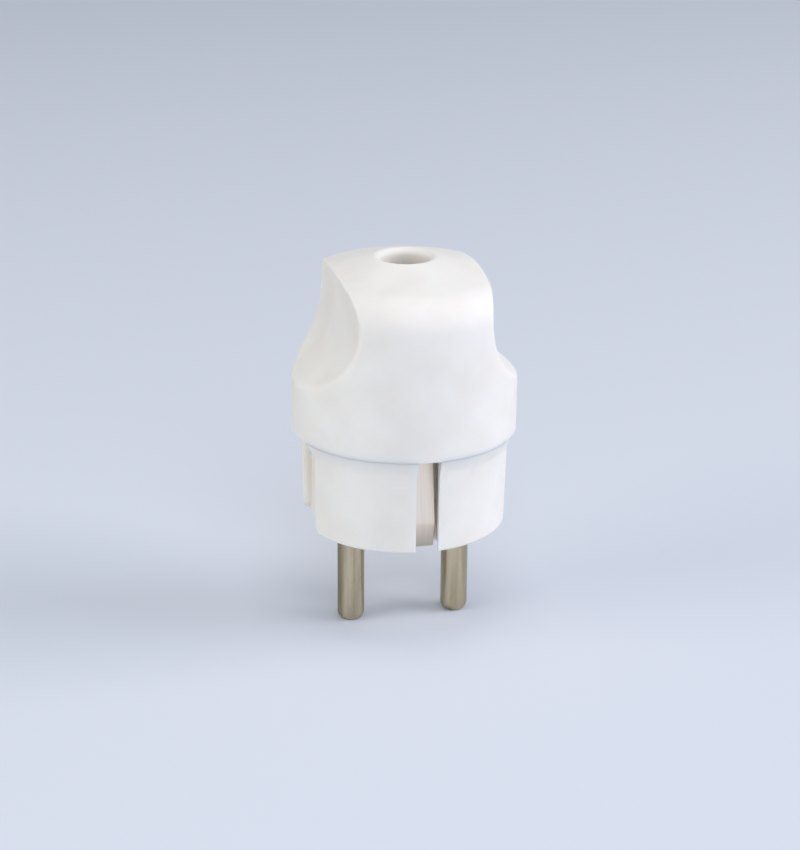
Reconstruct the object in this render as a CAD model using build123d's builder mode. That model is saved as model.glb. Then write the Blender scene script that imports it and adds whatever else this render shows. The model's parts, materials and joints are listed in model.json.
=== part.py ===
from build123d import *
import os
from math import cos, radians, sin, sqrt, tan

# A rewirable two-pin mains plug with side earth contacts: cover, base, pins, earth bracket,
# cord clamp and their screws. Millimetres. Z runs up along the cable, the engagement face lies
# at Z 0, the pins stand on the X axis and reach down to -Z, and the earth contacts face -Y and +Y.

# Contact pins, their thicker shanks in the base and the square terminal heads on top
pin_spacing = 19.0
pin_diameter = 4.8
pin_length = 19.0
pin_tip_width = 0.8
pin_tip_height = 1.3
shank_diameter = 5.2
shank_play = 0.05
head_side = 7.6
head_height = 11.0
head_play = 0.1
wire_hole_diameter = 3.4
wire_hole_height = 4.6

# Base: floor, wall, bevel up to the collar and the lip that centres the cover
floor_thickness = 4.0
face_edge = 0.4
waist_flare = 0.35
waist_height = 14.2
bevel_width = 1.5
bevel_height = 2.95
lip_height = 2.5
lip_wall = 1.6
lip_play = 0.1
parting_edge = 0.25
tower_wall = 1.3
tower_height = 8.0
tower_gap_width = 4.2

# Guide grooves in the sides of the base, in line with the pins
groove_width = 10.0
groove_depth = 2.2
groove_back_wall = 2.15
groove_side_wall = 2.0
groove_edge_radius = 1.0
groove_mouth_radius = 2.6

# Earth slots in the base and the sprung strip behind them
slot_width = 4.0
slot_depth = 5.1
slot_lip = 1.1
slot_undercut = 0.8
slot_wall = 1.5
strip_thickness = 0.8
strip_side_play = 0.3
strip_bend_radius = 1.3
blade_top_setback = 3.95
contact_setback = 1.5
contact_height = 4.6
blade_end_setback = 3.0
blade_end_height = 0.3
earth_pad_width = 7.4
earth_pad_length = 9.0
earth_boss_diameter = 6.2
earth_boss_bore = 4.2
earth_boss_bore_depth = 7.0

# Cover: straight wall, rounded shoulder, sloping top, finger scallops and the cable hole
cover_wall = 2.0
cover_height = 32.05
crown_angle = 15.0
shoulder_radius = 5.9
scallop_radius = 14.7
scallop_neck = 23.0
scallop_height = 22.8
scallop_edge = 0.25
cable_hole_diameter = 8.6
cable_hole_edge = 0.9

# Stop ribs in the cover, which hold the pins down
rib_thickness = 2.0
rib_play = 0.15
rib_notch_wall = 0.95

# Screws: shank and head diameters, head heights and the cross recess
thread_play = 0.05
terminal_screw_diameter = 3.4
terminal_screw_head = 5.0
terminal_screw_head_height = 1.8
terminal_screw_bite = 0.7
earth_screw_diameter = 3.5
earth_screw_head = 6.4
earth_screw_head_height = 2.0
earth_screw_length = 7.2
clamp_washer_side = 7.0
clamp_washer_thickness = 1.0
cover_screw_diameter = 3.0
cover_screw_head = 5.6
cover_screw_head_height = 2.2
cover_screw_sink = 3.0
cover_screw_hole_play = 0.2
cover_screw_bite = 6.6
cover_screw_angle = 60.0
screw_boss_wall = 1.7
screw_boss_web = 3.0
screw_boss_depth = 7.4
recess_share = 0.55
recess_width = 0.8
recess_depth_share = 0.6

# Cord clamp: a saddle on the base, a bar and two screws across the cable
cord_diameter = 8.0
saddle_play = 0.2
saddle_thickness = 3.0
saddle_width = 19.0
saddle_leg_width = 4.5
saddle_height = 12.0
saddle_window = 17.0
clamp_height = 8.0
clamp_bar_height = 6.0
clamp_bar_thickness = 2.6
clamp_bar_end_margin = 2.5
clamp_squeeze = 1.0
clamp_screw_diameter = 3.0
clamp_screw_head = 5.0
clamp_screw_head_height = 2.0
clamp_screw_overrun = 1.0
grip_rib_height = 0.6
grip_rib_width = 1.2
grip_rib_length = 6.0
grip_rib_pitch = 3.0

# Places worked out from the sizes above
pin_x = pin_spacing / 2
pin_radius = pin_diameter / 2
head_seat_z = floor_thickness
head_top_z = head_seat_z + head_height
wire_hole_z = head_seat_z + wire_hole_height
pocket_side = head_side + 2 * head_play
tower_side = pocket_side + 2 * tower_wall
tower_top_z = floor_thickness + tower_height
back_wall_x = pin_x + pocket_side / 2
groove_floor_x = back_wall_x + groove_back_wall
face_radius = groove_floor_x + groove_depth
waist_radius = face_radius + waist_flare
collar_radius = waist_radius + bevel_width
parting_z = waist_height + bevel_height
lip_top_z = parting_z + lip_height
skirt_radius = collar_radius - cover_wall
lip_radius = skirt_radius - lip_play
cavity_radius = lip_radius - lip_wall
slot_back_y = face_radius - slot_depth
slot_block_y = slot_back_y - slot_wall
slot_lip_y = face_radius - slot_lip
chamber_width = slot_width + 2 * slot_undercut
bridge_z = parting_z
strip_width = slot_width - 2 * strip_side_play
scallop_x = scallop_neck / 2 + scallop_radius
scallop_z = parting_z + scallop_height
crown_z = parting_z + cover_height
cable_hole_radius = cable_hole_diameter / 2
shoulder_start = collar_radius - shoulder_radius
shoulder_drop = shoulder_radius * tan(radians(90 - crown_angle) / 2)
screw_boss_radius = cover_screw_diameter / 2 + screw_boss_wall
cover_screw_circle = cavity_radius - screw_boss_radius + screw_boss_wall / 2
cover_screw_x = cover_screw_circle * cos(radians(cover_screw_angle))
cover_screw_y = cover_screw_circle * sin(radians(cover_screw_angle))
cover_boss_z = lip_top_z + lip_play
rib_inner_x = pin_x + terminal_screw_head / 2 + rib_play
rib_notch_x = groove_floor_x - rib_notch_wall
rib_outer_x = rib_notch_x - rib_play
rib_foot_z = head_top_z + rib_play
saddle_front_y = cord_diameter / 2 + saddle_play
saddle_back_y = saddle_front_y + saddle_thickness
saddle_bottom_z = floor_thickness + saddle_window
saddle_top_z = saddle_bottom_z + saddle_height
clamp_z = saddle_bottom_z + clamp_height
clamp_screw_x = saddle_width / 2 - clamp_bar_end_margin
clamp_face_y = -(cord_diameter / 2 - clamp_squeeze)
clamp_back_y = clamp_face_y - clamp_bar_thickness


def scallop_pair(growth):
    """Draws the two scallop circles, larger by growth, in a sketch that looks along Y."""
    with Locations((scallop_x, scallop_z), (-scallop_x, scallop_z)):
        Circle(scallop_radius + growth)


def crown_height(radius):
    """Height of the sloping top at a distance from the axis."""
    return crown_z - radius * tan(radians(crown_angle))


# Cover cavity: the room inside the cover, less the bosses of the cover screws and the stop ribs,
# which are left standing in it
with BuildPart() as cover_cavity:
    with BuildSketch(Plane.XZ):
        with BuildLine():
            Polyline(
                (0, crown_height(shoulder_start) - cover_wall),
                (0, parting_z),
                (skirt_radius, parting_z),
                (skirt_radius, crown_height(collar_radius) - shoulder_drop),
                (shoulder_start, crown_height(shoulder_start) - cover_wall),
                close=True,
            )
        make_face()
    revolve(axis=Axis.Z)
    with BuildSketch(Plane.XZ):
        scallop_pair(cover_wall)
    extrude(amount=collar_radius, both=True, mode=Mode.SUBTRACT)
    with BuildSketch(Plane.XY.offset(cover_boss_z)):
        with PolarLocations(cover_screw_circle, 2, start_angle=cover_screw_angle):
            Circle(screw_boss_radius)
            with Locations((screw_boss_radius, 0)):
                Rectangle(2 * screw_boss_radius, screw_boss_web)
    extrude(amount=screw_boss_depth, mode=Mode.SUBTRACT)
    with BuildSketch(Plane.XY.offset(parting_z)):
        with PolarLocations((rib_inner_x + rib_outer_x) / 2, 2):
            Rectangle(rib_outer_x - rib_inner_x, rib_thickness)
    extrude(amount=cover_height, mode=Mode.SUBTRACT)
    with BuildSketch(Plane.XY.offset(cover_boss_z)):
        with PolarLocations((rib_inner_x + collar_radius) / 2, 2):
            Rectangle(collar_radius - rib_inner_x, rib_thickness)
    extrude(amount=cover_height, mode=Mode.SUBTRACT)

# Cover: one white moulding, turned form first, then the scallops, the cavity and the cable hole
with BuildPart() as cover:
    with BuildSketch(Plane.XZ) as cover_section:
        with BuildLine():
            Polyline(
                (cable_hole_radius + cable_hole_edge, crown_height(cable_hole_radius + cable_hole_edge)),
                (cable_hole_radius, crown_height(cable_hole_radius) - cable_hole_edge),
                (cable_hole_radius, parting_z),
                (collar_radius - parting_edge, parting_z),
                (collar_radius, parting_z + parting_edge),
                (collar_radius, crown_height(collar_radius)),
                close=True,
            )
        make_face()
        fillet(cover_section.vertices().group_by(Axis.X)[-1].sort_by(Axis.Y)[-1], shoulder_radius)
    revolve(axis=Axis.Z)
    with BuildSketch(Plane.XZ):
        scallop_pair(0)
    extrude(amount=collar_radius, both=True, mode=Mode.SUBTRACT)
    scallops = cover.faces().filter_by(GeomType.CYLINDER).filter_by(
        lambda face: face.axis_of_rotation.is_parallel(Axis.Y)
    )
    chamfer(scallops.edges(), scallop_edge)
    add(cover_cavity.part, mode=Mode.SUBTRACT)
    with BuildSketch(Plane.XY.offset(rib_foot_z)):
        with PolarLocations((rib_inner_x + rib_outer_x) / 2, 2):
            Rectangle(rib_outer_x - rib_inner_x, rib_thickness)
    extrude(amount=parting_z - rib_foot_z)
    with BuildSketch(Plane.XY.offset(cover_boss_z)):
        with PolarLocations(cover_screw_circle, 2, start_angle=cover_screw_angle):
            Circle(cover_screw_diameter / 2 + thread_play)
    extrude(amount=screw_boss_depth, mode=Mode.SUBTRACT)
cover.part.label = "cover"

# Base: one white moulding with everything that carries the metal parts
with BuildPart() as base:
    with BuildSketch(Plane.XZ):
        with BuildLine():
            Polyline(
                (0, 0),
                (face_radius - face_edge, 0),
                (face_radius, face_edge),
                (waist_radius, waist_height),
                (collar_radius, parting_z),
                (lip_radius, parting_z),
                (lip_radius, lip_top_z),
                (0, lip_top_z),
                close=True,
            )
        make_face()
    revolve(axis=Axis.Z)
    with BuildSketch(Plane.XY.offset(floor_thickness)):
        Circle(cavity_radius)
    extrude(amount=lip_top_z - floor_thickness, mode=Mode.SUBTRACT)
    # Walls behind the grooves
    with BuildSketch():
        with PolarLocations((back_wall_x + groove_floor_x) / 2, 2):
            Rectangle(groove_back_wall, groove_width + 2 * groove_side_wall)
    extrude(amount=parting_z)
    # Blocks round the earth slots, whose tops carry the bridge of the strip
    with BuildSketch():
        with PolarLocations((slot_block_y + cavity_radius) / 2, 2, start_angle=90):
            Rectangle(cavity_radius - slot_block_y, chamber_width + 2 * slot_wall)
        Circle(earth_boss_diameter / 2)
    extrude(amount=bridge_z)
    # Towers round the terminal heads and bosses for the cover screws
    with BuildSketch():
        with PolarLocations(pin_x, 2):
            Rectangle(tower_side, tower_side)
    extrude(amount=tower_top_z)
    with BuildSketch():
        with PolarLocations(cover_screw_circle, 2, start_angle=cover_screw_angle):
            Circle(screw_boss_radius)
    extrude(amount=lip_top_z)
    # Saddle of the cord clamp, a portal on two legs with grip ribs on its face
    with BuildSketch(Plane.XZ.offset(-saddle_back_y)):
        with Locations((0, floor_thickness)):
            Rectangle(saddle_width, saddle_top_z - floor_thickness, align=(Align.CENTER, Align.MIN))
            Rectangle(
                saddle_width - 2 * saddle_leg_width,
                saddle_window,
                align=(Align.CENTER, Align.MIN),
                mode=Mode.SUBTRACT,
            )
    extrude(amount=saddle_thickness)
    with BuildSketch(Plane.XZ.offset(-saddle_front_y)):
        with Locations((0, clamp_z)):
            with GridLocations(0, grip_rib_pitch, 1, 2):
                Rectangle(grip_rib_length, grip_rib_width)
    extrude(amount=grip_rib_height)
    # Guide grooves, with rounded edges and mouths that widen towards the face
    edge_x = sqrt(waist_radius**2 - (groove_width / 2 + groove_edge_radius) ** 2)
    edge_y = groove_width / 2 + groove_edge_radius
    with BuildSketch():
        with BuildLine():
            Polyline(
                (edge_x - groove_edge_radius, groove_width / 2),
                (groove_floor_x, groove_width / 2),
                (groove_floor_x, -groove_width / 2),
                (edge_x - groove_edge_radius, -groove_width / 2),
            )
            RadiusArc((edge_x - groove_edge_radius, -groove_width / 2), (edge_x, -edge_y), groove_edge_radius)
            Polyline((edge_x, -edge_y), (collar_radius, -edge_y), (collar_radius, edge_y), (edge_x, edge_y))
            RadiusArc((edge_x, edge_y), (edge_x - groove_edge_radius, groove_width / 2), groove_edge_radius)
        make_face()
        mirror(about=Plane.YZ)
    extrude(amount=parting_z, mode=Mode.SUBTRACT)
    mouth_y = groove_width / 2 + groove_mouth_radius
    for side in (1, -1):
        with BuildSketch(Plane.YZ.offset(side * groove_floor_x)):
            with BuildLine():
                Line((-mouth_y, 0), (mouth_y, 0))
                RadiusArc((mouth_y, 0), (groove_width / 2, groove_mouth_radius), groove_mouth_radius)
                Line((groove_width / 2, groove_mouth_radius), (-groove_width / 2, groove_mouth_radius))
                RadiusArc((-groove_width / 2, groove_mouth_radius), (-mouth_y, 0), groove_mouth_radius)
            make_face()
        extrude(amount=side * groove_depth, mode=Mode.SUBTRACT)
    # Earth slots, open to the face and to the side, with a wider chamber behind their lips
    with BuildSketch():
        with PolarLocations((slot_back_y + collar_radius) / 2, 2, start_angle=90):
            Rectangle(collar_radius - slot_back_y, slot_width)
        with PolarLocations((slot_back_y + slot_lip_y) / 2, 2, start_angle=90):
            Rectangle(slot_lip_y - slot_back_y, chamber_width)
    extrude(amount=parting_z, mode=Mode.SUBTRACT)
    # Pin holes, seats of the heads and the gaps that let the wires in
    with BuildSketch(Plane.XY.offset(head_seat_z)):
        with PolarLocations(pin_x, 2):
            Rectangle(pocket_side, pocket_side)
    extrude(amount=tower_height, mode=Mode.SUBTRACT)
    with BuildSketch():
        with PolarLocations(pin_x, 2):
            Circle(shank_diameter / 2 + shank_play)
    extrude(amount=head_seat_z, mode=Mode.SUBTRACT)
    with BuildSketch(Plane.XY.offset(wire_hole_z - tower_gap_width / 2)):
        with Locations((pin_x, 0), (-pin_x, 0)):
            Rectangle(tower_gap_width, tower_side / 2, align=(Align.CENTER, Align.MAX))
    extrude(amount=tower_top_z, mode=Mode.SUBTRACT)
    # Notches that let the stop ribs of the cover reach the heads
    with BuildSketch(Plane.XY.offset(rib_foot_z - rib_play)):
        with PolarLocations((back_wall_x + rib_notch_x) / 2, 2):
            Rectangle(rib_notch_x - back_wall_x, rib_thickness + 2 * rib_play)
    extrude(amount=lip_top_z, mode=Mode.SUBTRACT)
    # Screw holes: sunk ones for the cover, blind for the earth screw, through for the clamp
    with BuildSketch():
        with PolarLocations(cover_screw_circle, 2, start_angle=cover_screw_angle):
            Circle(cover_screw_diameter / 2 + cover_screw_hole_play)
    extrude(amount=lip_top_z, mode=Mode.SUBTRACT)
    with BuildSketch():
        with PolarLocations(cover_screw_circle, 2, start_angle=cover_screw_angle):
            Circle(cover_screw_head / 2 + cover_screw_hole_play)
    extrude(amount=cover_screw_sink, mode=Mode.SUBTRACT)
    with BuildSketch(Plane.XY.offset(bridge_z)):
        Circle(earth_boss_bore / 2)
    extrude(amount=-earth_boss_bore_depth, mode=Mode.SUBTRACT)
    with BuildSketch(Plane.XZ.offset(-saddle_back_y)):
        with Locations((clamp_screw_x, clamp_z), (-clamp_screw_x, clamp_z)):
            Circle(clamp_screw_diameter / 2 + thread_play)
    extrude(amount=saddle_thickness, mode=Mode.SUBTRACT)
base.part.label = "base"


def contact_pin(x, label):
    """A brass pin with a tapered tip, a shank in the base and a drilled square terminal head."""
    with BuildPart() as pin:
        with BuildSketch(Plane((x, 0, 0), x_dir=(1, 0, 0), z_dir=(0, -1, 0))):
            with BuildLine():
                Polyline(
                    (0, -pin_length),
                    (pin_radius - pin_tip_width, -pin_length),
                    (pin_radius, pin_tip_height - pin_length),
                    (pin_radius, 0),
                    (shank_diameter / 2, 0),
                    (shank_diameter / 2, head_seat_z),
                    (0, head_seat_z),
                    close=True,
                )
            make_face()
        revolve(axis=Axis((x, 0, 0), (0, 0, 1)))
        with BuildSketch(Plane((x, 0, head_seat_z))):
            Rectangle(head_side, head_side)
        extrude(amount=head_height)
        with BuildSketch(Plane((x, 0, wire_hole_z))):
            Circle(terminal_screw_diameter / 2 + thread_play)
        extrude(amount=head_top_z - wire_hole_z, mode=Mode.SUBTRACT)
        with BuildSketch(Plane((x, 0, wire_hole_z), z_dir=(0, 1, 0))):
            Circle(wire_hole_diameter / 2)
        extrude(amount=head_side / 2, both=True, mode=Mode.SUBTRACT)
    pin.part.label = label
    return pin.part


def cross_screw(seat, shank, length, head, head_height, label):
    """A pan-head screw on the plane under its head, whose normal points to the tip."""
    with BuildPart() as screw:
        with BuildSketch(seat):
            Circle(shank / 2)
        extrude(amount=length)
        with BuildSketch(seat):
            Circle(head / 2)
        extrude(amount=-head_height)
        crown = Plane(seat.origin - seat.z_dir * head_height, x_dir=seat.x_dir, z_dir=seat.z_dir)
        with BuildSketch(crown):
            Rectangle(head * recess_share, recess_width)
            Rectangle(recess_width, head * recess_share)
        extrude(amount=head_height * recess_depth_share, mode=Mode.SUBTRACT)
    screw.part.label = label
    return screw.part


# Earth bracket: one strip bent to a U, with a wider pad at its middle for the terminal
bridge_mid_z = bridge_z + strip_thickness / 2
blade_points = [
    (face_radius - blade_top_setback, bridge_mid_z),
    (face_radius - contact_setback - strip_thickness / 2, contact_height),
    (face_radius - blade_end_setback, blade_end_height),
]
strip_points = [(-y, z) for y, z in reversed(blade_points)] + blade_points
with BuildPart() as earth_bracket:
    with BuildSketch(Plane.YZ) as strip_section:
        with BuildLine():
            FilletPolyline(*strip_points, radius=strip_bend_radius)
        trace(line_width=strip_thickness)
    extrude(amount=strip_width / 2, both=True)
    with BuildSketch(Plane.XY.offset(bridge_z)):
        Rectangle(earth_pad_width, earth_pad_length)
    extrude(amount=strip_thickness)
    with BuildSketch(Plane.XY.offset(bridge_z)):
        Circle(earth_screw_diameter / 2 + thread_play)
    extrude(amount=strip_thickness, mode=Mode.SUBTRACT)
earth_bracket.part.label = "earth_bracket"

# Earth clamp washer: a square plate that presses the wire on the pad
washer_z = bridge_z + strip_thickness
with BuildPart() as earth_clamp_washer:
    with BuildSketch(Plane.XY.offset(washer_z)):
        Rectangle(clamp_washer_side, clamp_washer_side)
        Circle(earth_screw_diameter / 2 + thread_play, mode=Mode.SUBTRACT)
    extrude(amount=clamp_washer_thickness)
earth_clamp_washer.part.label = "earth_clamp_washer"

# Cord clamp bar: a moulded bar with a grip rib on the face that meets the cable
with BuildPart() as cord_clamp_bar:
    with BuildSketch(Plane.XZ.offset(-clamp_face_y)):
        with Locations((0, clamp_z)):
            Rectangle(saddle_width, clamp_bar_height)
        with Locations((clamp_screw_x, clamp_z), (-clamp_screw_x, clamp_z)):
            Circle(clamp_screw_diameter / 2 + thread_play, mode=Mode.SUBTRACT)
    extrude(amount=clamp_bar_thickness)
    with BuildSketch(Plane.XZ.offset(-clamp_face_y)):
        with Locations((0, clamp_z)):
            Rectangle(grip_rib_length, grip_rib_width)
    extrude(amount=-grip_rib_height)
cord_clamp_bar.part.label = "cord_clamp_bar"

pieces = [
    cover.part,
    base.part,
    earth_bracket.part,
    earth_clamp_washer.part,
    cord_clamp_bar.part,
    contact_pin(-pin_x, "pin_live"),
    contact_pin(pin_x, "pin_neutral"),
]

# Terminal screws, down into the pin heads as far as the wire
terminal_screw_length = head_top_z - wire_hole_z - wire_hole_diameter / 2 + terminal_screw_bite
for x, name in ((-pin_x, "terminal_screw_live"), (pin_x, "terminal_screw_neutral")):
    seat = Plane((x, 0, head_top_z), z_dir=(0, 0, -1))
    size = (terminal_screw_diameter, terminal_screw_length, terminal_screw_head, terminal_screw_head_height)
    pieces.append(cross_screw(seat, *size, name))

# Earth screw, down through washer and pad
seat = Plane((0, 0, washer_z + clamp_washer_thickness), z_dir=(0, 0, -1))
size = (earth_screw_diameter, earth_screw_length, earth_screw_head, earth_screw_head_height)
pieces.append(cross_screw(seat, *size, "earth_terminal_screw"))

# Cord clamp screws, through the bar into the saddle
clamp_screw_length = saddle_back_y + clamp_screw_overrun - clamp_back_y
for x, name in ((-clamp_screw_x, "cord_clamp_screw_left"), (clamp_screw_x, "cord_clamp_screw_right")):
    seat = Plane((x, clamp_back_y, clamp_z), x_dir=(1, 0, 0), z_dir=(0, 1, 0))
    size = (clamp_screw_diameter, clamp_screw_length, clamp_screw_head, clamp_screw_head_height)
    pieces.append(cross_screw(seat, *size, name))

# Cover screws, up from the face into the bosses of the cover
cover_screw_length = cover_boss_z + cover_screw_bite - cover_screw_sink
for turn, name in ((1, "cover_screw_back"), (-1, "cover_screw_front")):
    seat = Plane((turn * cover_screw_x, turn * cover_screw_y, cover_screw_sink))
    size = (cover_screw_diameter, cover_screw_length, cover_screw_head, cover_screw_head_height)
    pieces.append(cross_screw(seat, *size, name))

os.makedirs("parts", exist_ok=True)
for piece in pieces:
    export_step(piece, f"parts/{piece.label}.step")
    print(piece.label, len(piece.solids()), round(piece.volume, 1))
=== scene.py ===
# %% [markdown]
# # A white mains plug, dressed for the studio
# The solids of the plug come from its CAD source as one object for each piece, in metres and in one
# frame: the engagement face lies at Z 0, the pins reach down and the cable would leave at the top.
# This lesson gives the pieces their looks. Loading the solids first means that each new piece can take its
# place and size from them. The box they fill is kept, and its lowest point sets the height of the floor.

# %% Load the solids
import json
from math import cos, pi, radians, sin, tan

import bpy
import numpy as np
from mathutils import Matrix, Vector


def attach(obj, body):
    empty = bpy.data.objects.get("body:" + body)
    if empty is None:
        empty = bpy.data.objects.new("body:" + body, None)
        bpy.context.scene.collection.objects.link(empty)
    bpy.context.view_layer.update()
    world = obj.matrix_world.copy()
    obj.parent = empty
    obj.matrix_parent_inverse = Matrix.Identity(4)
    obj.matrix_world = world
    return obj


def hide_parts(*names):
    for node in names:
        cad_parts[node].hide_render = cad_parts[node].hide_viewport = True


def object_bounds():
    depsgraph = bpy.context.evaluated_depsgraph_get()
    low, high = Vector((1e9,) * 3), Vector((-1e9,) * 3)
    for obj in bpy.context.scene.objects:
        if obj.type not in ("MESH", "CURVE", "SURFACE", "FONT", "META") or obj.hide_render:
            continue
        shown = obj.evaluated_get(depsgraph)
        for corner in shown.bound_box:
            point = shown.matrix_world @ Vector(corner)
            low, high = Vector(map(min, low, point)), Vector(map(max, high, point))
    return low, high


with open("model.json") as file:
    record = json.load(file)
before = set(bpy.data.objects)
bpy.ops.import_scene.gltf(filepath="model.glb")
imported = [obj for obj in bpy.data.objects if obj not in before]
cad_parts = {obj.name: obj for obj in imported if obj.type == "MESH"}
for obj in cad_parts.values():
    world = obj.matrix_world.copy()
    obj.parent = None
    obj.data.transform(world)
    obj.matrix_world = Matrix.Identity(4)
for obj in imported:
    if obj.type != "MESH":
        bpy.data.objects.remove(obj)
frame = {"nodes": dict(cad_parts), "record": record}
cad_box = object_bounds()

MM = 0.001
nodes = frame["nodes"]
print("solids:", ", ".join(sorted(nodes)))

# %% [markdown]
# ## Helpers for the finishes
# Colours are given as sRGB hex values, but shaders want linear light, so one function turns one into the
# other. A second function adds a shader node with its settings and links, which keeps each recipe below
# down to a line or two for each node.


# %% Colour and node helpers
def linear(hex_colour):
    """An sRGB hex colour as linear red, green, blue and alpha."""
    channels = [int(hex_colour[i : i + 2], 16) / 255 for i in (1, 3, 5)]
    light = [c / 12.92 if c <= 0.04045 else ((c + 0.055) / 1.055) ** 2.4 for c in channels]
    return (*light, 1.0)


def add_node(tree, kind, settings=None, inputs=None):
    """Adds one shader node; an input given as a socket is linked, any other is set as a value."""
    node = tree.nodes.new(kind)
    for key, value in (settings or {}).items():
        setattr(node, key, value)
    for key, value in (inputs or {}).items():
        if isinstance(value, bpy.types.NodeSocket):
            tree.links.new(value, node.inputs[key])
        else:
            node.inputs[key].default_value = value
    return node


def start_material(name):
    """A new material, its node tree, its shader and the socket of its object coordinates."""
    material = bpy.data.materials.new(name)
    material.use_nodes = True
    tree = material.node_tree
    place = add_node(tree, "ShaderNodeTexCoord").outputs["Object"]
    return material, tree, tree.nodes["Principled BSDF"], place


print("mid grey in linear light:", round(linear("#808080")[0], 3))

# %% [markdown]
# ## White moulded plastic
# Cover, base and clamp bar are white thermoplastic, pressed in a polished steel mould. The eye sees a
# clean, slightly warm white with a soft gloss that isn't quite even: the skin is a little wavy, like
# very fine orange peel, and the gloss drifts over several millimetres. Noise at those two sizes gives
# both, and a third, faint one lets the white itself drift. Light also goes a millimetre or two into
# such plastic, so the shader scatters it below the surface. A picture of plastic could give the look
# too, but noise on object coordinates needs no file and has no seams.

# %% White moulded plastic
PEEL_SIZE = 0.55 * MM  # real orange peel is about half this; drawn coarser so that it shows
GLOSS_DRIFT = 5.0 * MM
TINT_DRIFT = 9.0 * MM
PEEL_DEPTH = 0.012 * MM

white_plastic, tree, shader, place = start_material("white_moulded_thermoplastic")
tint = add_node(
    tree, "ShaderNodeTexNoise", None, {"Vector": place, "Scale": 1 / TINT_DRIFT, "Detail": 3.0}
)
ramp = add_node(tree, "ShaderNodeValToRGB", None, {"Fac": tint.outputs["Fac"]})
ramp.color_ramp.elements[0].position = 0.35
ramp.color_ramp.elements[0].color = linear("#F0EADF")
ramp.color_ramp.elements[1].position = 0.65
ramp.color_ramp.elements[1].color = linear("#F5F0E6")
tree.links.new(ramp.outputs["Color"], shader.inputs["Base Color"])
gloss = add_node(
    tree, "ShaderNodeTexNoise", None, {"Vector": place, "Scale": 1 / GLOSS_DRIFT, "Detail": 4.0}
)
rough = add_node(
    tree, "ShaderNodeMapRange", None, {"Value": gloss.outputs["Fac"], "To Min": 0.5, "To Max": 0.64}
)
tree.links.new(rough.outputs["Result"], shader.inputs["Roughness"])
peel = add_node(
    tree, "ShaderNodeTexNoise", None, {"Vector": place, "Scale": 1 / PEEL_SIZE, "Detail": 2.0}
)
bump = add_node(
    tree, "ShaderNodeBump", None, {"Height": peel.outputs["Fac"], "Distance": PEEL_DEPTH, "Strength": 0.6}
)
tree.links.new(bump.outputs["Normal"], shader.inputs["Normal"])
shader.inputs["IOR"].default_value = 1.5
shader.inputs["Subsurface Weight"].default_value = 0.6
shader.inputs["Subsurface Radius"].default_value = (2.0, 1.5, 1.15)  # red light goes deepest
shader.inputs["Subsurface Scale"].default_value = MM
print("made", white_plastic.name)

# %% [markdown]
# ## Nickel-plated turned brass
# The contact pins are turned from brass bar and nickel-plated, which gives a warm grey metal. Turning
# leaves fine rings around the pin. Each trip into a socket outlet rubs tracks along it, drawn as noise that
# is narrow across the pin and long along Z. A painted sheen is added to that: the pins are painted lighter
# towards their front and back and darker at their flanks. This painted shade stands in for the dark
# reflections at the edges of a metal cylinder. The sum drives colour and roughness together, as a track
# that the outlet rubs is both brighter and smoother.

# %% Tracks along the pins, and a painted sheen across them
TRACK_WIDTH = 1.5 * MM
TRACK_LENGTH = 26.0 * MM
STREAK_WIDTH = 0.3 * MM
STREAK_LENGTH = 6.0 * MM
PAINTED_SHEEN_FROM = 0.3 * MM  # distance to the front or back at which the painted sheen begins; the flanks nearer in get painted shade
PAINTED_SHEEN_TO = 2.0 * MM

pin_nickel, tree, shader, place = start_material("nickel_plated_turned_brass")
shader.inputs["Metallic"].default_value = 1.0
stretch = add_node(
    tree,
    "ShaderNodeMapping",
    None,
    {"Vector": place, "Scale": (1 / TRACK_WIDTH, 1 / TRACK_WIDTH, 1 / TRACK_LENGTH)},
)
tracks = add_node(
    tree, "ShaderNodeTexNoise", None, {"Vector": stretch.outputs["Vector"], "Scale": 1.0, "Detail": 1.0}
)
stretch = add_node(
    tree,
    "ShaderNodeMapping",
    None,
    {"Vector": place, "Scale": (1 / STREAK_WIDTH, 1 / STREAK_WIDTH, 1 / STREAK_LENGTH)},
)
streaks = add_node(
    tree, "ShaderNodeTexNoise", None, {"Vector": stretch.outputs["Vector"], "Scale": 1.0, "Detail": 2.0}
)
scuffs = add_node(
    tree,
    "ShaderNodeMix",
    {"data_type": "FLOAT"},
    {0: 0.2, 2: tracks.outputs["Fac"], 3: streaks.outputs["Fac"]},
)
# Painted sheen and shade: lighter towards the front and back of each pin, darker at its flanks
sides = add_node(tree, "ShaderNodeSeparateXYZ", None, {"Vector": place})
depth = add_node(tree, "ShaderNodeMath", {"operation": "ABSOLUTE"}, {0: sides.outputs["Y"]})
painted_sheen = add_node(
    tree,
    "ShaderNodeMapRange",
    None,
    {
        "Value": depth.outputs[0],
        "From Min": PAINTED_SHEEN_FROM,
        "From Max": PAINTED_SHEEN_TO,
        "To Min": 0.36,
        "To Max": 0.64,
    },
)
# Half real tracks and streaks, half painted sheen
rubbed_and_sheen = add_node(
    tree,
    "ShaderNodeMix",
    {"data_type": "FLOAT"},
    {0: 0.5, 2: scuffs.outputs[0], 3: painted_sheen.outputs["Result"]},
)
print("tracks", TRACK_WIDTH / MM, "mm wide, streaks", STREAK_WIDTH / MM, "mm wide")

# %% Plating of the pins
RING_PITCH = 0.32 * MM  # a fine feed is about 0.1 mm; drawn coarser so that it shows
RING_DEPTH = 0.004 * MM
WAVE_PERIOD = 2 * pi / 20  # length of one band of a wave texture at scale 1
DULL, BRIGHT = 0.4, 0.6  # amounts of rubbing plus painted sheen at which the plating is at its dullest and brightest

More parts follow.
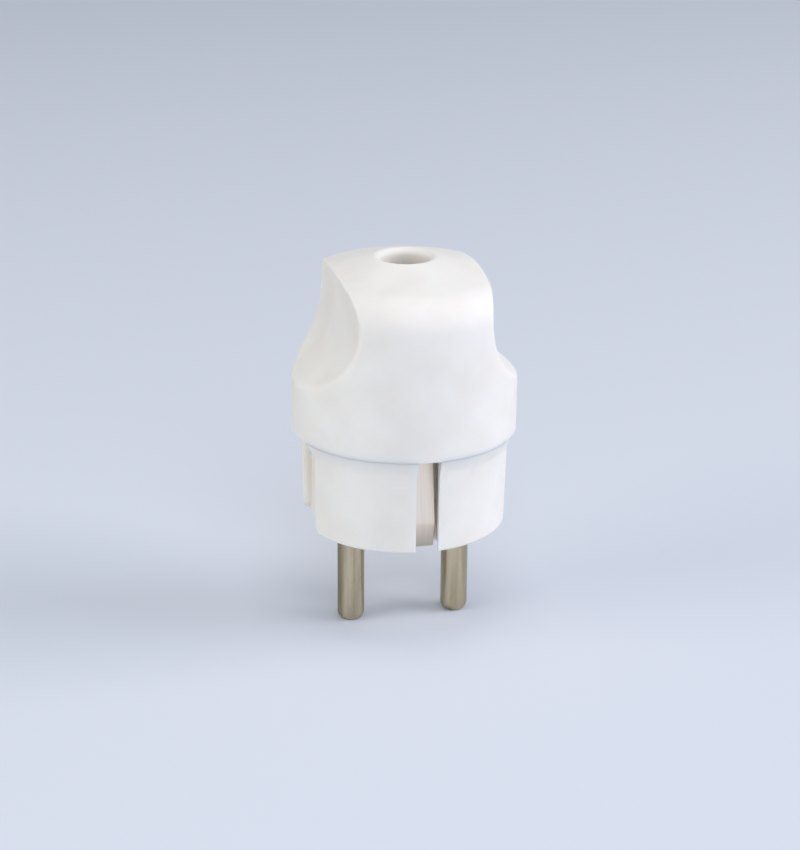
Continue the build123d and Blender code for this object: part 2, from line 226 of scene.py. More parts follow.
ramp = add_node(tree, "ShaderNodeValToRGB", None, {"Fac": rubbed_and_sheen.outputs[0]})
ramp.color_ramp.elements[0].position = DULL
ramp.color_ramp.elements[0].color = linear("#8E826B")
ramp.color_ramp.elements[1].position = BRIGHT
ramp.color_ramp.elements[1].color = linear("#CFC0A3")
tree.links.new(ramp.outputs["Color"], shader.inputs["Base Color"])
rough = add_node(
    tree,
    "ShaderNodeMapRange",
    None,
    {"Value": rubbed_and_sheen.outputs[0], "From Min": DULL, "From Max": BRIGHT, "To Min": 0.4, "To Max": 0.22},
)
tree.links.new(rough.outputs["Result"], shader.inputs["Roughness"])
rings = add_node(
    tree,
    "ShaderNodeTexWave",
    {"wave_type": "BANDS", "bands_direction": "Z"},
    {"Vector": place, "Scale": WAVE_PERIOD / RING_PITCH, "Distortion": 0.6, "Detail": 1.0},
)
bump = add_node(
    tree, "ShaderNodeBump", None, {"Height": rings.outputs["Fac"], "Distance": RING_DEPTH, "Strength": 0.5}
)
tree.links.new(bump.outputs["Normal"], shader.inputs["Normal"])
print("made", pin_nickel.name)

# %% [markdown]
# ## Nickel-plated rolled strip
# The earth contact is stamped from rolled spring brass and plated bright. Rolling leaves fine straight
# lines along the strip. The strip is bent to a U, but its width lies along X everywhere, so noise that
# changes quickly along X and slowly along Y and Z runs along the strip on every side of its bends. The
# lower ends of both blades are painted grey. This painted shade is for the ends that sit low in the slot
# and face down into shadow. It depends on the height alone, so the height above the face mixes the grey
# tone in.

# %% Nickel-plated rolled strip
GRAIN_WIDTH = 0.22 * MM  # real rolling lines are finer; drawn coarser so that they show
GRAIN_LENGTH = 14.0 * MM
GRAIN_DEPTH = 0.004 * MM
PAINTED_SHADE_BELOW = 5.4 * MM  # height at which the painted shade begins
PAINTED_SHADE_FULL = 0.3 * MM  # height at which the painted shade is darkest

strip_nickel, tree, shader, place = start_material("nickel_plated_rolled_brass")
shader.inputs["Metallic"].default_value = 1.0
squeeze = add_node(
    tree,
    "ShaderNodeMapping",
    None,
    {"Vector": place, "Scale": (1 / GRAIN_WIDTH, 1 / GRAIN_LENGTH, 1 / GRAIN_LENGTH)},
)
grain = add_node(
    tree, "ShaderNodeTexNoise", None, {"Vector": squeeze.outputs["Vector"], "Scale": 1.0, "Detail": 4.0}
)
ramp = add_node(tree, "ShaderNodeValToRGB", None, {"Fac": grain.outputs["Fac"]})
ramp.color_ramp.elements[0].position = 0.3
ramp.color_ramp.elements[0].color = linear("#EFDFCB")
ramp.color_ramp.elements[1].position = 0.7
ramp.color_ramp.elements[1].color = linear("#F7E9D7")
sides = add_node(tree, "ShaderNodeSeparateXYZ", None, {"Vector": place})
# Painted shade: the blades turn grey towards their lower ends
painted_end_shade = add_node(
    tree,
    "ShaderNodeMapRange",
    None,
    {
        "Value": sides.outputs["Z"],
        "From Min": PAINTED_SHADE_BELOW,
        "From Max": PAINTED_SHADE_FULL,
        "To Min": 0.0,
        "To Max": 0.66,
    },
)
# The grey of the painted shade is mixed over the rolled nickel
tone = add_node(
    tree,
    "ShaderNodeMix",
    {"data_type": "RGBA"},
    {0: painted_end_shade.outputs["Result"], 6: ramp.outputs["Color"], 7: linear("#9A8F80")},
)
tree.links.new(tone.outputs[2], shader.inputs["Base Color"])
rough = add_node(
    tree, "ShaderNodeMapRange", None, {"Value": grain.outputs["Fac"], "To Min": 0.3, "To Max": 0.48}
)
tree.links.new(rough.outputs["Result"], shader.inputs["Roughness"])
bump = add_node(
    tree, "ShaderNodeBump", None, {"Height": grain.outputs["Fac"], "Distance": GRAIN_DEPTH, "Strength": 0.5}
)
tree.links.new(bump.outputs["Normal"], shader.inputs["Normal"])
print("made", strip_nickel.name)

# %% [markdown]
# ## Zinc-plated steel
# The screws and the clamp washer are steel with a bright zinc coat from a barrel. It is cooler in
# colour than nickel and slightly cloudy, because the pieces tumble against each other in the bath.
# Noise of about a millimetre drives the cloudiness, and a finer one leaves the small dents.

# %% Zinc-plated steel
CLOUD_SIZE = 1.1 * MM
DENT_SIZE = 0.3 * MM
DENT_DEPTH = 0.008 * MM

zinc_steel, tree, shader, place = start_material("zinc_plated_steel")
shader.inputs["Metallic"].default_value = 1.0
cloud = add_node(
    tree, "ShaderNodeTexNoise", None, {"Vector": place, "Scale": 1 / CLOUD_SIZE, "Detail": 5.0}
)
ramp = add_node(tree, "ShaderNodeValToRGB", None, {"Fac": cloud.outputs["Fac"]})
ramp.color_ramp.elements[0].position = 0.3
ramp.color_ramp.elements[0].color = linear("#B4B8BD")
ramp.color_ramp.elements[1].position = 0.7
ramp.color_ramp.elements[1].color = linear("#CFD2D6")
tree.links.new(ramp.outputs["Color"], shader.inputs["Base Color"])
rough = add_node(
    tree, "ShaderNodeMapRange", None, {"Value": cloud.outputs["Fac"], "To Min": 0.26, "To Max": 0.46}
)
tree.links.new(rough.outputs["Result"], shader.inputs["Roughness"])
dents = add_node(
    tree, "ShaderNodeTexNoise", None, {"Vector": place, "Scale": 1 / DENT_SIZE, "Detail": 2.0}
)
bump = add_node(
    tree, "ShaderNodeBump", None, {"Height": dents.outputs["Fac"], "Distance": DENT_DEPTH, "Strength": 0.4}
)
tree.links.new(bump.outputs["Normal"], shader.inputs["Normal"])
print("made", zinc_steel.name)

# %% [markdown]
# ## Finishes for the solids
# The record of the part names a material slot for each solid. Giving every solid the finish of its
# slot means that nothing stays bare, whether or not a finer piece takes its place below.

# %% Finishes for the solids
finishes = {
    "white_moulding": white_plastic,
    "nickel_plated_pin": pin_nickel,
    "nickel_plated_strip": strip_nickel,
    "zinc_plated_steel": zinc_steel,
}
slot_of = {part["node"]: part["material_slot"] for part in frame["record"]["subparts"]}
for node, slot in slot_of.items():
    nodes[node].data.materials.clear()
    nodes[node].data.materials.append(finishes[slot])
print("finished", len(slot_of), "solids")

# %% [markdown]
# ## Helper for new pieces
# A new piece hides the solid it stands for, takes the finish of that solid's slot and rides on the plug's
# one rigid body. Doing this in one function keeps the pieces alike.


# %% Seat a new piece
def seat_piece(piece, name, node):
    """Names a finished piece, gives it its node's finish and hides that node, so that the piece takes its
    place.
    """
    piece.name = name
    piece.data.name = name
    piece.data.materials.clear()
    piece.data.materials.append(finishes[slot_of[node]])
    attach(piece, "root")
    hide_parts(node)
    print(name, "stands for", node, "with", len(piece.data.polygons), "faces")


def make_active(piece):
    """Selects one object alone and makes it the one that operators act on."""
    bpy.ops.object.select_all(action="DESELECT")
    piece.select_set(True)
    bpy.context.view_layer.objects.active = piece


# %% [markdown]
# ## The cover's section
# The cover is turned in shape: a straight wall, a rounded shoulder, a top that slopes up to the cable
# hole, and the same again inside, one wall thinner. Two cylinders that lie along Y then cut the finger
# scallops. On the real mould every edge between them is a little round. A boolean cut and a bevel could
# make that, but the bevel breaks where a curved edge crosses many small faces. So the form is worked
# out as a distance: it says for any point how far outside the moulding it lies, and rounding an edge
# between two distances is a short sum.

# %% Sizes of the cover
COLLAR_RADIUS = 19.59  # a hair inside the solid's 19.6, so that the box stays the same
PARTING_Z = 17.15
PARTING_EDGE = 0.06
APEX_Z = 49.2
CROWN_ANGLE = radians(15)
SHOULDER_RADIUS = 5.9
HOLE_RADIUS = 4.3
HOLE_EDGE = 1.1
COVER_WALL = 2.0
SCALLOP_RADIUS = 14.7
SCALLOP_X = 26.2
SCALLOP_Z = 39.95
SCALLOP_EDGE = 0.25  # round edge at the top of the scallop
SCALLOP_HORN_Z = 44.5  # height from which the edge keeps that size
SCALLOP_FOOT_EDGE = 0.7  # round edge at its foot, where a thumb slides over it
SCALLOP_FOOT_Z = 27.0  # height below which the edge keeps that size
INNER_EDGE = 0.3
HALVINGS = 40  # steps of the search for the skin

slope = tan(CROWN_ANGLE)
shoulder_r = COLLAR_RADIUS - SHOULDER_RADIUS
shoulder_z = APEX_Z - shoulder_r * slope - SHOULDER_RADIUS / cos(CROWN_ANGLE)
ceiling_z = APEX_Z - shoulder_r * slope - COVER_WALL
inner_radius = COLLAR_RADIUS - COVER_WALL
lean = np.hypot(ceiling_z - shoulder_z, inner_radius - shoulder_r)
print("shoulder starts at", round(shoulder_z, 2), "mm, ceiling at", round(ceiling_z, 2), "mm")


# %% Distances from the cover's skins
def outer_gap(r, z):
    """Distance outside the turned outer form; negative inside it."""
    tilt = np.arctan2(z - shoulder_z, r - shoulder_r)
    wall = r - COLLAR_RADIUS
    shoulder = np.hypot(r - shoulder_r, z - shoulder_z) - SHOULDER_RADIUS
    crown = (z - APEX_Z + r * slope) * cos(CROWN_ANGLE)
    return np.where(tilt < 0, wall, np.where(tilt < pi / 2 - CROWN_ANGLE, shoulder, crown))


def inner_gap(r, z):
    """Distance outside the room in the cover: a straight wall and a sloping top edge."""
    top = (r - shoulder_r) * (ceiling_z - shoulder_z) + (z - ceiling_z) * (inner_radius - shoulder_r)
    return np.maximum(r - inner_radius, top / lean)


def scalloped_radius(gap, limit, z, angle, scallop_radius, edge):
    """Distance from the axis at which the scalloped form ends, found by halving below a limit."""
    low = np.full_like(angle, HOLE_RADIUS / 2)
    high = np.full_like(angle, limit)
    for _ in range(HALVINGS):
        middle = (low + high) / 2
        reach = np.hypot(middle * np.abs(np.cos(angle)) - SCALLOP_X, z - SCALLOP_Z)
        turned = gap(middle, z) + edge
        scallop = scallop_radius - reach + edge
        corner = np.hypot(np.maximum(turned, 0), np.maximum(scallop, 0)) - edge
        inside = np.minimum(np.maximum(turned, scallop), 0) + corner <= 0
        low = np.where(inside, middle, low)
        high = np.where(inside, high, middle)
    return high


wall = -outer_gap(inner_radius, (PARTING_Z + shoulder_z) / 2)
print("wall at mid height:", round(float(wall), 2), "mm")

# %% [markdown]
# ## Rows and columns of the cover's grid
# The skin is laid as one grid, like a label that is wrapped round a bottle: rows run round the cover,
# from the parting line up over the shoulder, in through the cable hole and down the inner wall again.
# The plug is the same in all four quarters, so each row is worked out for one quarter and mirrored.
# Its columns are spread so that about a quarter of them gather where the row turns a corner. That way
# the round edge of the scallop gets fine faces and the plain wall gets few.

# %% Rows of the cover's grid
QUARTER = 72  # columns in a quarter turn
CORNER_SHARE = 0.28  # share of them that gathers at corners
FINE_STEPS = 1200

fine = np.linspace(0, pi / 2, FINE_STEPS + 1)
even = np.linspace(0, pi / 2, QUARTER + 1)
rows = []


def gathered_columns(radius):
    """Angles of a quarter's columns, closer together where the row turns sharply."""
    x, y = radius * np.cos(fine), radius * np.sin(fine)
    step = np.hypot(np.diff(x), np.diff(y))
    heading = np.unwrap(np.arctan2(np.diff(y), np.diff(x)))
    turn = np.abs(np.diff(heading, prepend=heading[0]))
    share = (1 - CORNER_SHARE) * step / step.sum() + CORNER_SHARE * turn / turn.sum()
    total = np.concatenate([[0], np.cumsum(share)])
    return np.interp(np.linspace(0, total[-1], QUARTER + 1), total, fine)


def scalloped_row(gap, limit, z, scallop_radius, edge):
    """A row that the scallops may cut: angles, distances from the axis and heights of one quarter."""
    radius = scalloped_radius(gap, limit, z, fine, scallop_radius, edge)
    angles = gathered_columns(radius)
    return angles, np.interp(angles, fine, radius), np.full(QUARTER + 1, z)


def outer_row(limit, z):
    """Adds a row of the outer skin; the scallop's edge grows rounder towards its foot."""
    share = np.clip((z - SCALLOP_FOOT_Z) / (SCALLOP_HORN_Z - SCALLOP_FOOT_Z), 0, 1) ** 1.5
    edge = SCALLOP_FOOT_EDGE + (SCALLOP_EDGE - SCALLOP_FOOT_EDGE) * share
    rows.append(scalloped_row(outer_gap, limit, z, SCALLOP_RADIUS, edge))


def round_row(radius, z):
    """Adds a plain round row."""
    rows.append((even, np.full(QUARTER + 1, radius), np.full(QUARTER + 1, z)))


# %% Outer skin, from the parting line to the hole
for turn in np.radians(np.linspace(-90, 0, 5)):
    radius = COLLAR_RADIUS - PARTING_EDGE + PARTING_EDGE * cos(turn)
    round_row(radius, PARTING_Z + PARTING_EDGE + PARTING_EDGE * sin(turn))
scallop_foot = SCALLOP_Z - SCALLOP_RADIUS
for start, stop, step in (
    (PARTING_Z + 1.0, scallop_foot, 0.8),
    (scallop_foot + 0.3, scallop_foot + 3.0, 0.1),  # finest where the scallop leaves the wall
    (scallop_foot + 3.1, scallop_foot + 4.7, 0.2),
    (scallop_foot + 4.8, shoulder_z - 0.1, 0.3),
):
    for z in np.arange(start, stop, step):
        outer_row(COLLAR_RADIUS, z)
for turn in np.radians(np.arange(0, 75.1, 2.5)):
    outer_row(shoulder_r + SHOULDER_RADIUS * cos(turn), shoulder_z + SHOULDER_RADIUS * sin(turn))
rim_reach = HOLE_EDGE / tan((pi / 2 - CROWN_ANGLE) / 2)
rim_radius = HOLE_RADIUS + rim_reach * cos(CROWN_ANGLE)
crown_start = shoulder_r + SHOULDER_RADIUS * sin(CROWN_ANGLE)
for r in np.arange(crown_start - 0.2, rim_radius + 0.2, -0.25):
    outer_row(r, APEX_Z - r * slope)
print("outer rows:", len(rows))

# %% Hole, ceiling and inner wall
rim_z = APEX_Z - HOLE_RADIUS * slope - rim_reach
for turn in np.linspace(pi / 2 - CROWN_ANGLE, pi, 9):
    round_row(HOLE_RADIUS + HOLE_EDGE + HOLE_EDGE * cos(turn), rim_z + HOLE_EDGE * sin(turn))
for z in np.linspace(rim_z, ceiling_z, 7)[1:]:
    round_row(HOLE_RADIUS, z)
room_radius = SCALLOP_RADIUS + COVER_WALL
angles, radius, height = scalloped_row(inner_gap, shoulder_r, ceiling_z, room_radius, INNER_EDGE)
for share in np.linspace(0, 1, 9)[1:]:
    rows.append((
        even + (angles - even) * share,
        HOLE_RADIUS + (radius - HOLE_RADIUS) * share,
        height,
    ))
for z in np.linspace(ceiling_z, shoulder_z, 9)[1:]:
    limit = shoulder_r + (inner_radius - shoulder_r) * (ceiling_z - z) / (ceiling_z - shoulder_z)
    rows.append(scalloped_row(inner_gap, limit, z, room_radius, INNER_EDGE))
for z in np.linspace(shoulder_z, PARTING_Z, 40)[1:]:
    rows.append(scalloped_row(inner_gap, inner_radius, z, room_radius, INNER_EDGE))
for r in np.linspace(inner_radius, COLLAR_RADIUS - PARTING_EDGE, 4)[1:-1]:
    round_row(r, PARTING_Z)
print("rows in all:", len(rows))

# %% [markdown]
# ## Wrap the grid
# A flat grid comes from one operator. Each of its vertices is then moved to the place that its row and
# column ask for, and the two seams, round the cover and along its section, are welded. The result is
# one closed skin, so it has a true wall and an open cable hole.

# %% Wrap the grid
COLUMNS = 4 * QUARTER
SEAM_WELD = 0.0001 * MM


def whole_turn(angles, radius, height):
    """Mirrors a quarter's row to the whole turn, with its places in metres."""
    angle = np.concatenate([angles[:-1], pi - angles[:0:-1], pi + angles[:-1], 2 * pi - angles[:0:-1]])
    r = np.concatenate([radius[:-1], radius[:0:-1]] * 2)
    z = np.concatenate([height[:-1], height[:0:-1]] * 2)
    return np.stack([r * np.cos(angle), r * np.sin(angle), z], axis=1) * MM


table = np.array([whole_turn(*row) for row in rows])
bpy.ops.object.select_all(action="DESELECT")
bpy.ops.mesh.primitive_grid_add(x_subdivisions=COLUMNS, y_subdivisions=len(rows), size=2)
cover = bpy.context.object
flat = np.zeros(len(cover.data.vertices) * 3)
cover.data.vertices.foreach_get("co", flat)
column = np.rint((flat[0::3] + 1) / 2 * COLUMNS).astype(int) % COLUMNS
row = np.rint((flat[1::3] + 1) / 2 * len(rows)).astype(int) % len(rows)
cover.data.vertices.foreach_set("co", table[row, column].ravel())
cover.data.update()
bpy.ops.object.mode_set(mode="EDIT")
bpy.ops.mesh.select_all(action="SELECT")
bpy.ops.mesh.remove_doubles(threshold=SEAM_WELD)
bpy.ops.mesh.normals_make_consistent(inside=False)
bpy.ops.object.mode_set(mode="OBJECT")
print("cover skin:", len(cover.data.polygons), "faces")

# %% [markdown]
# ## Ribs and screw bosses in the cover
# Inside, the moulding carries two ribs that hold the pins down and two bosses that the cover screws
# bite into, each with a web out to the wall. They are plain prisms and cylinders, so primitives at
# their size are joined to the skin by a boolean union. Each ends in the middle of the wall, and a foot
# or a web is a hair narrower than what it joins, because booleans go wrong where two faces lie in one
# plane.


# %% Helpers for primitives and booleans
def box_piece(low, high, turn=0.0):
    """A box between two corners in millimetres, turned about Z by some degrees."""
    bpy.ops.object.select_all(action="DESELECT")
    bpy.ops.mesh.primitive_cube_add(size=MM)
    piece = bpy.context.object
    bpy.ops.transform.resize(value=[h - l for l, h in zip(low, high)])
    bpy.ops.transform.translate(value=[(l + h) / 2 * MM for l, h in zip(low, high)])
    bpy.ops.object.transform_apply(location=True, rotation=True, scale=True)
    piece.rotation_euler[2] = radians(turn)
    bpy.ops.object.transform_apply(location=True, rotation=True, scale=True)
    return piece


def rod_piece(x, y, radius, bottom, top, sides=64):
    """An upright cylinder in millimetres."""
    bpy.ops.object.select_all(action="DESELECT")
    bpy.ops.mesh.primitive_cylinder_add(
        vertices=sides,
        radius=radius * MM,
        depth=(top - bottom) * MM,
        location=(x * MM, y * MM, (bottom + top) / 2 * MM),
    )
    bpy.ops.object.transform_apply(location=True, rotation=True, scale=True)
    return bpy.context.object


def combine(piece, tool, operation):
    """Joins a tool to a piece or cuts it away, and removes the tool with its mesh."""
    make_active(piece)
    boolean = piece.modifiers.new("boolean", "BOOLEAN")
    boolean.operation = operation
    boolean.solver = "EXACT"
    boolean.object = tool
    bpy.ops.object.modifier_apply(modifier=boolean.name)
    bpy.data.meshes.remove(tool.data)


# %% Stop ribs
RIB_HALF = 1.0  # half the thickness of a rib
RIB_INSIDE, RIB_OUTSIDE = 12.15, 18.4
RIB_FOOT_Z, RIB_TOP_Z = 15.15, 31.9
RIB_FOOT_OUTSIDE = 14.45
RIB_LEAN = 21.95  # the slanting top passes this far out at this height
LIP_CLEAR_Z = 19.75  # just above the lip of the base
HAIR = 0.01

for side in (0, 180):
    rib = box_piece((RIB_INSIDE, -RIB_HALF, LIP_CLEAR_Z), (RIB_OUTSIDE, RIB_HALF, RIB_TOP_Z), side)
    bpy.ops.object.mode_set(mode="EDIT")
    bpy.ops.mesh.select_all(action="SELECT")
    lean_out = Vector((cos(radians(side)), 0, 1))
    bpy.ops.mesh.bisect(
        plane_co=lean_out * RIB_LEAN * MM, plane_no=lean_out, use_fill=True, clear_outer=True
    )
    bpy.ops.object.mode_set(mode="OBJECT")
    half = RIB_HALF - HAIR
    low, high = (RIB_INSIDE + HAIR, -half, RIB_FOOT_Z), (RIB_FOOT_OUTSIDE, half, LIP_CLEAR_Z + 1)
    combine(rib, box_piece(low, high, side), "UNION")
    combine(cover, rib, "UNION")
print("ribs joined:", len(cover.data.polygons), "faces")

# %% Screw bosses
BOSS_CIRCLE = 13.55
BOSS_RADIUS = 3.2
BOSS_TOP_Z = 27.15
BOSS_ANGLE = 60
BOSS_HOLE_RADIUS = 1.55
BOSS_HOLE_SIDES = 32
WEB_HALF = 1.5  # half the thickness of a web
WEB_OUTSIDE = 18.6

for turn in (BOSS_ANGLE, BOSS_ANGLE + 180):
    x, y = BOSS_CIRCLE * cos(radians(turn)), BOSS_CIRCLE * sin(radians(turn))
    boss = rod_piece(x, y, BOSS_RADIUS, LIP_CLEAR_Z, BOSS_TOP_Z)
    low = (BOSS_CIRCLE, -WEB_HALF, LIP_CLEAR_Z + HAIR)
    high = (WEB_OUTSIDE, WEB_HALF, BOSS_TOP_Z - HAIR)
    combine(boss, box_piece(low, high, turn), "UNION")
    drill = rod_piece(x, y, BOSS_HOLE_RADIUS, LIP_CLEAR_Z - 1, BOSS_TOP_Z + 1, BOSS_HOLE_SIDES)
    combine(boss, drill, "DIFFERENCE")
    combine(cover, boss, "UNION")
print("bosses joined:", len(cover.data.polygons), "faces")

# %% [markdown]
# ## Smooth the cover and seat it
# Smooth shading up to an angle keeps the corners of the room inside crisp, and lets the wall, the
# shoulder and the rounded edges run into each other.

# %% Smooth the cover and seat it
COVER_SMOOTH_BELOW = radians(40)

make_active(cover)
bpy.ops.object.shade_smooth_by_angle(angle=COVER_SMOOTH_BELOW)
seat_piece(cover, "moulded_cover", "cover")

# %% [markdown]
# ## Softened pieces
# Most solids already have the right form, but CAD leaves their edges knife-sharp, and no moulded,
# stamped or turned edge is. A copy of each solid is welded, its flat faces are joined, and a bevel of
# a tenth or two of a millimetre rounds each edge, so that it catches a thin line of light. Remodelling
# these pieces from primitives would only risk losing their exact fits.

# %% Soften the solids
WELD = 0.001 * MM
FLAT_BELOW = radians(0.4)  # faces that turn by less are one flat face
BEVEL_FROM = radians(35)
BEVEL_STEPS = 3
SMOOTH_BELOW = radians(32)


def even_shading(piece):
    """Lets the large faces of the active piece set the shading, so that flat sides look flat."""
    weight = piece.modifiers.new("even_shading", "WEIGHTED_NORMAL")
    weight.keep_sharp = True
    bpy.ops.object.modifier_apply(modifier=weight.name)


def softened_piece(node, name, width):
    """A welded copy of a solid with all its sharp edges rounded by a small bevel."""
    make_active(nodes[node])
    bpy.ops.object.duplicate()
    piece = bpy.context.object
    piece.parent = None
    # The copy is a new piece, so the marks that it has from its solid come off
    for tag in [key for key in piece.keys() if key.startswith("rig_")]:
        del piece[tag]
    bpy.ops.mesh.customdata_custom_splitnormals_clear()
    bpy.ops.object.mode_set(mode="EDIT")
    bpy.ops.mesh.select_all(action="SELECT")
    bpy.ops.mesh.remove_doubles(threshold=WELD)
    bpy.ops.mesh.dissolve_limited(angle_limit=FLAT_BELOW)
    bpy.ops.object.mode_set(mode="OBJECT")
    bevel = piece.modifiers.new("edges", "BEVEL")
    bevel.width = width * MM
    bevel.segments = BEVEL_STEPS
    bevel.limit_method = "ANGLE"
    bevel.angle_limit = BEVEL_FROM
    bpy.ops.object.modifier_apply(modifier=bevel.name)
    bpy.ops.object.shade_smooth_by_angle(angle=SMOOTH_BELOW)
    even_shading(piece)
    seat_piece(piece, name, node)


softened_piece("base", "moulded_base", 0.1)
softened_piece("cord_clamp_bar", "moulded_clamp_bar", 0.2)
softened_piece("earth_bracket", "sprung_earth_strip", 0.1)
softened_piece("earth_clamp_washer", "clamp_washer", 0.12)
for node in sorted(slot_of):
    if "screw" in node:
        softened_piece(node, "cross_head_" + node, 0.2)

# %% [markdown]
# ## Contact pins
# A pin is turned from round bar: a long shaft with a well-rounded end, a slightly thicker shank that
# sits in the base, and above it the square block that is left for the terminal. A cylinder at the size
# of the shaft is the start. Its lower end face is extruded and shrunk step by step along a quarter of
# an ellipse, which gives the smooth round tip that the solid's plain cone only hints at. The upper end
# grows to the shank the same way, and booleans add the block and drill it. One pin is made at the
# origin and copied to both places.

# %% Helper for turned ends
SAME_HEIGHT = 0.0001 * MM
FACES_ALONG_Z = 0.99


def extrude_end(piece, height, radius, old_radius, rise):
    """Extrudes the end face at a height along Z and then brings it to a new radius."""
    make_active(piece)
    bpy.ops.object.mode_set(mode="EDIT")
    bpy.ops.mesh.select_all(action="DESELECT")
    bpy.ops.object.mode_set(mode="OBJECT")
    for face in piece.data.polygons:
        near = abs(face.center.z - height * MM) < SAME_HEIGHT
        face.select = near and abs(face.normal.z) > FACES_ALONG_Z
    bpy.ops.object.mode_set(mode="EDIT")
    bpy.ops.mesh.select_mode(type="FACE")
    bpy.ops.mesh.extrude_region_move(TRANSFORM_OT_translate={"value": (0, 0, rise * MM)})
    ratio = radius / old_radius
    bpy.ops.transform.resize(value=(ratio, ratio, 1), center_override=(0, 0, (height + rise) * MM))
    bpy.ops.object.mode_set(mode="OBJECT")


# %% Turn one pin
PIN_RADIUS = 2.4
PIN_SIDES = 96
TIP_Z = -19.0
TIP_HEIGHT = 1.5
TIP_FLAT = 1.1  # radius of the flat at the very end
TIP_STEPS = 10
SHANK_RADIUS = 2.6
SHANK_STEP = 0.05  # height of the step from shaft to shank
SHANK_OVERLAP = 0.5  # the shank ends about this far inside the block
SEAT_Z = 4.0

pin = rod_piece(0, 0, PIN_RADIUS, TIP_Z + TIP_HEIGHT, 0, PIN_SIDES)
height, radius = TIP_Z + TIP_HEIGHT, PIN_RADIUS
for turn in np.radians(np.linspace(0, 90, TIP_STEPS + 1)[1:]):
    new_height = TIP_Z + TIP_HEIGHT * (1 - sin(turn))
    new_radius = TIP_FLAT + (PIN_RADIUS - TIP_FLAT) * cos(turn)
    extrude_end(pin, height, new_radius, radius, new_height - height)
    height, radius = new_height, new_radius
extrude_end(pin, 0, SHANK_RADIUS, PIN_RADIUS, SHANK_STEP)
extrude_end(pin, SHANK_STEP, SHANK_RADIUS, SHANK_RADIUS, SEAT_Z + SHANK_OVERLAP)
print("turned pin:", len(pin.data.polygons), "faces")

# %% Add and drill the terminal block
BLOCK_SIDE = 7.6
BLOCK_EDGE = 0.3
BLOCK_TOP_Z = 15.0
WIRE_HOLE_Z = 8.6
WIRE_HOLE_RADIUS = 1.7
CLAMP_HOLE_RADIUS = 1.75
HOLE_SIDES = 48

half = BLOCK_SIDE / 2
block = box_piece((-half, -half, SEAT_Z), (half, half, BLOCK_TOP_Z))
bevel = block.modifiers.new("edges", "BEVEL")
bevel.width = BLOCK_EDGE * MM
bevel.segments = BEVEL_STEPS
bpy.ops.object.modifier_apply(modifier=bevel.name)
combine(pin, block, "UNION")
drill = rod_piece(0, 0, CLAMP_HOLE_RADIUS, WIRE_HOLE_Z, BLOCK_TOP_Z + 1, HOLE_SIDES)
combine(pin, drill, "DIFFERENCE")
drill = rod_piece(0, 0, WIRE_HOLE_RADIUS, -BLOCK_SIDE, BLOCK_SIDE, HOLE_SIDES)
drill.rotation_euler[0] = pi / 2
drill.location.z = WIRE_HOLE_Z * MM
bpy.ops.object.transform_apply(location=True, rotation=True, scale=True)
combine(pin, drill, "DIFFERENCE")
make_active(pin)
bpy.ops.object.shade_smooth_by_angle(angle=SMOOTH_BELOW)
even_shading(pin)
print("pin with block:", len(pin.data.polygons), "faces")

# %% Set the pins
PIN_X = 9.5

make_active(pin)
bpy.ops.object.duplicate()
twin = bpy.context.object
for piece, x, name, node in (
    (pin, -PIN_X, "turned_pin_live", "pin_live"),
    (twin, PIN_X, "turned_pin_neutral", "pin_neutral"),
):
    make_active(piece)
    bpy.ops.transform.translate(value=(x * MM, 0, 0))
    bpy.ops.object.transform_apply(location=True, rotation=True, scale=True)
    seat_piece(piece, name, node)

# %% [markdown]
# ## Floor and light
# The plug stands on its pins on a plain, matt, pale floor. A large soft lamp from the right is the main
# light. Weaker ones from the front, from low in front, from the left and from above open the shadows,
# and the room adds an even level. All of them stand a metre or more away, so that none burns a white
# spot into the floor beside the plug. Their levels are set so that the white plastic comes out about
# as bright as its colour says.

# %% Floor
FLOOR_SIDE = 4.0  # metres

floor_z = cad_box[0][2]
bpy.ops.object.select_all(action="DESELECT")
bpy.ops.mesh.primitive_plane_add(size=FLOOR_SIDE, location=(0, 0, floor_z))
floor = bpy.context.object
floor.name = "studio_floor"
pale_paper, _, shader, _ = start_material("pale_backdrop_paper")
shader.inputs["Base Color"].default_value = linear("#DDE1E6")
shader.inputs["Roughness"].default_value = 0.9
shader.inputs["Specular IOR Level"].default_value = 0.1  # matt paper has hardly any gloss
floor.data.materials.append(pale_paper)
print("floor at", round(floor_z / MM, 2), "mm")

# %% Light
LAMP_AIM = Vector((0, 0, 0.02))  # metres

world = bpy.data.worlds.new("studio")
bpy.context.scene.world = world
world.use_nodes = True
room = world.node_tree.nodes["Background"]
room.inputs["Color"].default_value = linear("#DDE6F4")
room.inputs["Strength"].default_value = 0.48


def softbox(name, turn, rise, distance, width, height, power, colour):
    """A lamp that faces the plug: degrees from the front to the right and up, then metres and watts."""
    side, lift = radians(turn), radians(rise)
    way = distance * Vector((cos(lift) * sin(side), -cos(lift) * cos(side), sin(lift)))
    bpy.ops.object.light_add(type="AREA", location=LAMP_AIM + way)
    lamp = bpy.context.object
    lamp.name = name
    lamp.data.shape = "RECTANGLE"
    lamp.data.size = width
    lamp.data.size_y = height
    lamp.data.energy = power
    lamp.data.color = linear(colour)[:3]
    lamp.rotation_euler = way.to_track_quat("Z", "Y").to_euler()


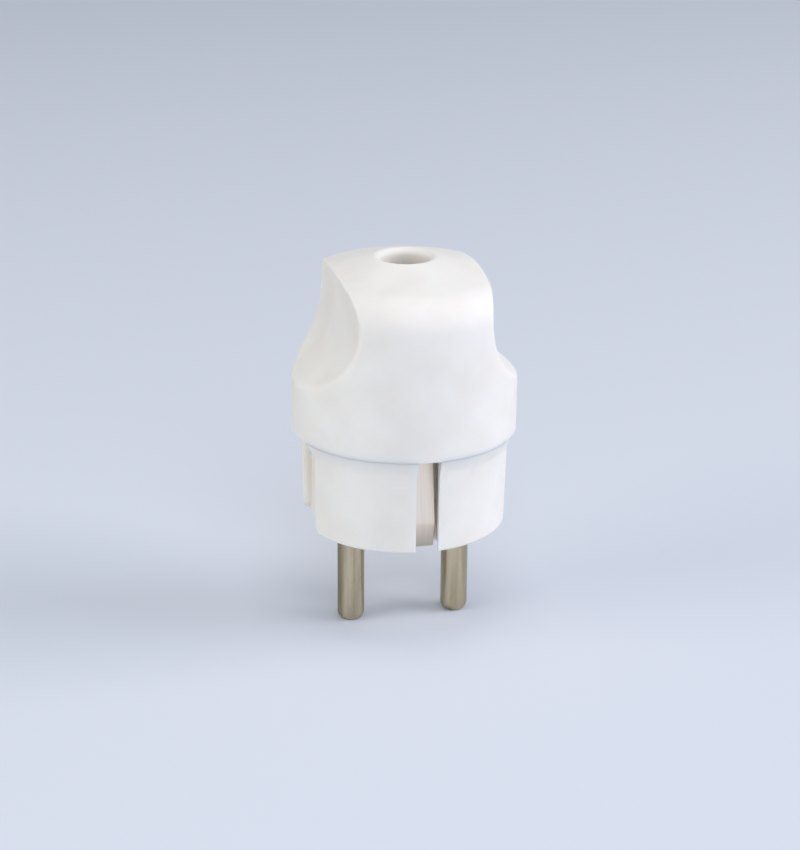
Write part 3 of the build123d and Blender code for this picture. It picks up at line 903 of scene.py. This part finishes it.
softbox("key_softbox", 74, 28, 1.6, 0.96, 0.96, 13.7, "#F8F5FF")
softbox("front_softbox", -2, 42, 1.0, 0.50, 0.50, 2.1, "#D8E2FF")
softbox("low_fill", 10, 11, 1.2, 0.80, 0.30, 1.4, "#D8E2FF")
softbox("left_fill", -80, 24, 1.0, 0.60, 0.50, 2.9, "#FFF8F0")
softbox("top_softbox", 0, 82, 1.0, 0.40, 0.40, 1.6, "#FFFCF6")

# %% [markdown]
# ## Camera
# The camera stands where a fit of the pins, the earth slot and the outline puts it: a long lens, a
# little left of the front and about twenty degrees above the plug. Its sensor is matched to the height
# of the picture, so the focal length follows from the fitted one in pixels.

# %% Camera
CAMERA_DISTANCE = 404.0
CAMERA_ELEVATION = radians(20.346)
CAMERA_AZIMUTH = radians(-13.47)
CAMERA_ROLL = radians(0.488)
CAMERA_SIDE = -0.692
CAMERA_HEIGHT = 16.884
FOCAL_PIXELS = 2306.7
PICTURE_HEIGHT = 850
SENSOR_HEIGHT = 36.0

back = Vector((
    sin(CAMERA_AZIMUTH) * cos(CAMERA_ELEVATION),
    -cos(CAMERA_AZIMUTH) * cos(CAMERA_ELEVATION),
    sin(CAMERA_ELEVATION),
))
level = Vector((cos(CAMERA_AZIMUTH), sin(CAMERA_AZIMUTH), 0))
upright = back.cross(level)
right = level * cos(CAMERA_ROLL) + upright * sin(CAMERA_ROLL)
up = upright * cos(CAMERA_ROLL) - level * sin(CAMERA_ROLL)
stand = Vector((0, 0, CAMERA_HEIGHT)) + back * CAMERA_DISTANCE + level * CAMERA_SIDE
lens = bpy.data.cameras.new("long_lens")
lens.sensor_fit = "VERTICAL"
lens.sensor_height = SENSOR_HEIGHT
lens.lens = SENSOR_HEIGHT * FOCAL_PIXELS / PICTURE_HEIGHT
camera = bpy.data.objects.new("studio_camera", lens)
bpy.context.scene.collection.objects.link(camera)
camera.matrix_world = Matrix.Translation(stand * MM) @ Matrix((right, up, back)).transposed().to_4x4()
bpy.context.scene.camera = camera
bpy.context.scene.view_settings.view_transform = "Standard"
print("lens:", round(lens.lens, 1), "mm")
